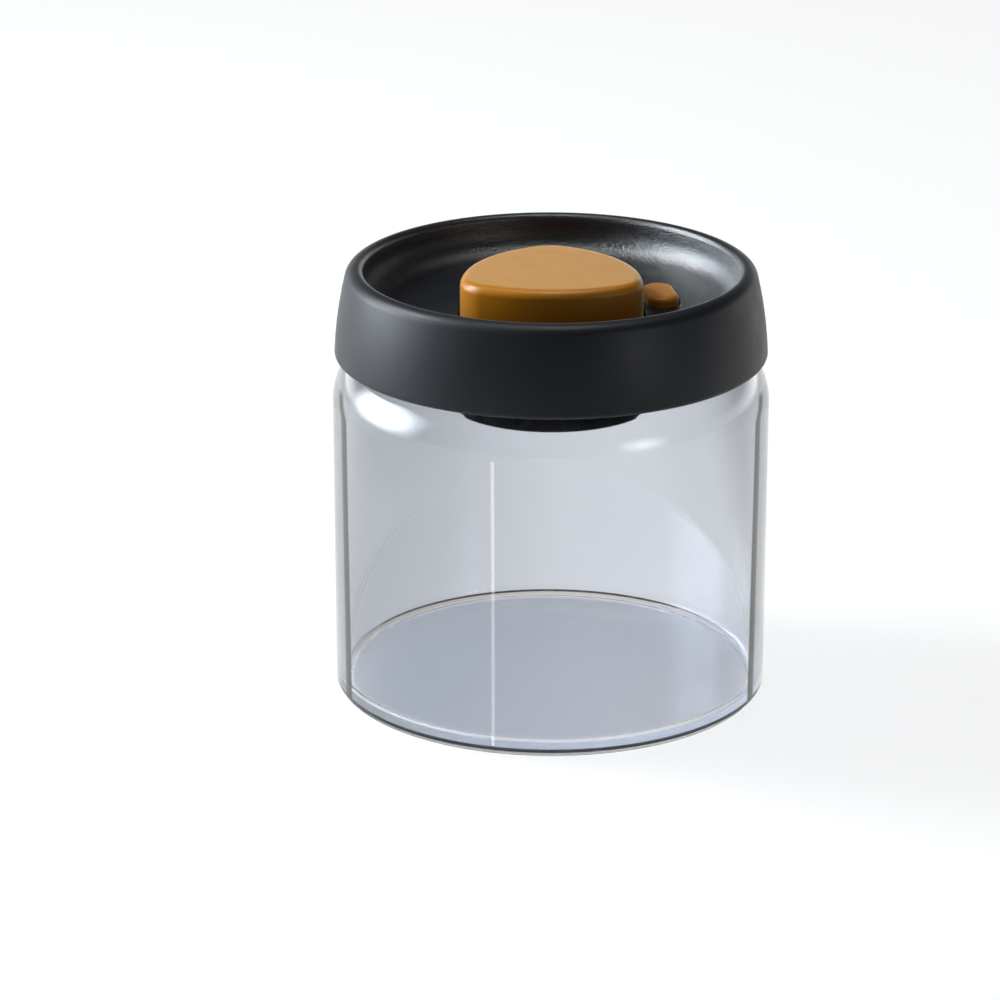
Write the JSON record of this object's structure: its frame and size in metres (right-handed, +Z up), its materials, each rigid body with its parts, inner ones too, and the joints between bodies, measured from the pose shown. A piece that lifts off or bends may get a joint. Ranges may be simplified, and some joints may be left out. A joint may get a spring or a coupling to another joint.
{
  "type": "vacuum seal canister",
  "caption": "Round glass storage canister with a dished push-on lid that holds a press pump and a release button to draw out and let in air.",
  "frame": {"origin": "centre of the base on the surface that the canister stands on", "axes": "+Z up along the axis of the jar and the pump; -Y is the front, with the flat side of the pump button; +X is the side with the release button"},
  "size_m": [0.105, 0.105, 0.105],
  "materials": {
    "smoky_glass": "clear polished glass with a light grey-blue tint",
    "charcoal_plastic": "fine satin charcoal moulding",
    "mustard_plastic": "satin mustard moulding",
    "black_plastic": "smooth black moulding",
    "pale_plastic": "natural white moulding",
    "grey_silicone": "soft translucent grey silicone",
    "spring_steel": "bright drawn wire",
    "screw_steel": "plain zinc-plated steel",
    "filter_felt": "thin white filter felt"
  },
  "bodies": {
    "jar": {"glass_jar": "smoky_glass"},
    "lid": {"lid_shell": "charcoal_plastic", "lid_plug": "black_plastic", "lid_gasket": "grey_silicone", "pump_cylinder": "black_plastic", "cylinder_seal": "grey_silicone", "cylinder_screws": "screw_steel", "intake_valve": "grey_silicone", "filter_disc": "filter_felt", "filter_cap": "black_plastic", "guide_plate": "pale_plastic", "guide_screws": "screw_steel", "pump_spring": "spring_steel", "release_spring": "spring_steel"},
    "pump": {"pump_button": "mustard_plastic", "piston": "pale_plastic", "piston_seal": "grey_silicone", "piston_screw": "screw_steel"},
    "release": {"release_button": "mustard_plastic", "release_seal": "grey_silicone", "release_clip": "spring_steel"}
  },
  "joints": [
    {"name": "lid_lift", "type": "slide", "parent": "jar", "child": "lid", "axis": [0, 0, 1], "range_m": [0, 0.06]},
    {"name": "pump_press", "type": "slide", "parent": "lid", "child": "pump", "axis": [0, 0, -1], "range_m": [0, 0.006], "stiffness_N_per_m": 1200, "springref_m": -0.01, "deforming": ["pump_spring"]},
    {"name": "release_press", "type": "slide", "parent": "lid", "child": "release", "axis": [0, 0, -1], "range_m": [0, 0.0018], "stiffness_N_per_m": 700, "springref_m": -0.003, "deforming": ["release_spring"]}
  ]
}
